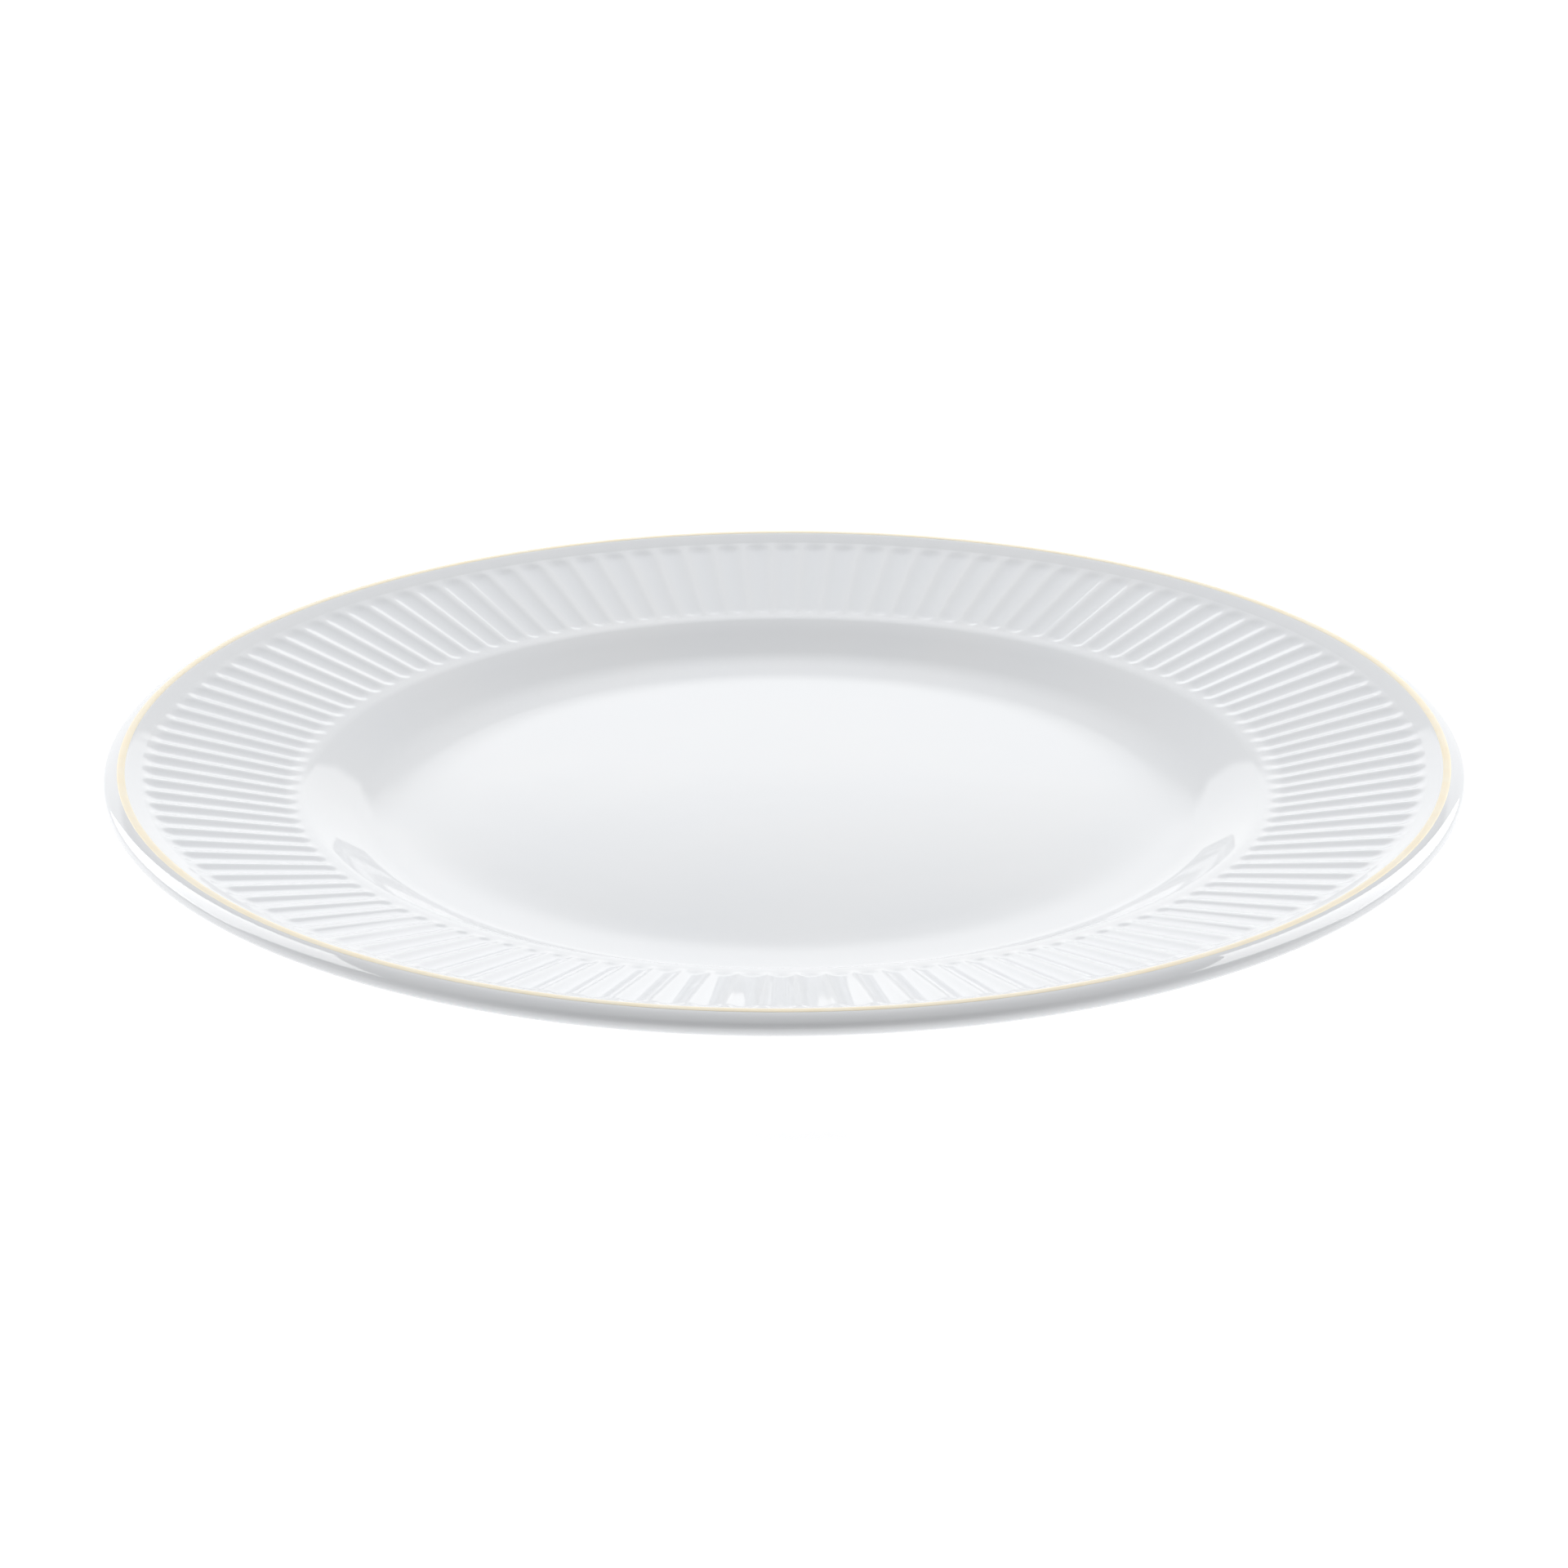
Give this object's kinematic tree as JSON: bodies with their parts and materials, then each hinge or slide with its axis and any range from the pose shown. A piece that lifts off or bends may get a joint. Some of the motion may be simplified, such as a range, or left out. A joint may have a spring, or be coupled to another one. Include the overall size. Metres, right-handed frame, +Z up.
{
  "type": "dinner plate",
  "caption": "Round glazed porcelain dinner plate with a flat well, a sloping rim of fine radial flutes and a thin gold line on its rounded lip.",
  "frame": {"origin": "centre of the circle on which the foot ring stands, on the table plane", "axes": "+Z up along the plate's axis, out of the well; X and Y lie in the table plane, with a ridge of the fluted rim on +X"},
  "size_m": [0.28, 0.28, 0.0221],
  "materials": {
    "bare_porcelain": "matte",
    "white_glaze": "gloss",
    "gold": "polished"
  },
  "bodies": {
    "root": {"porcelain_body": "bare_porcelain", "glaze_coat": "white_glaze", "foot_recess_glaze": "white_glaze", "gold_line": "gold"}
  },
  "joints": []
}
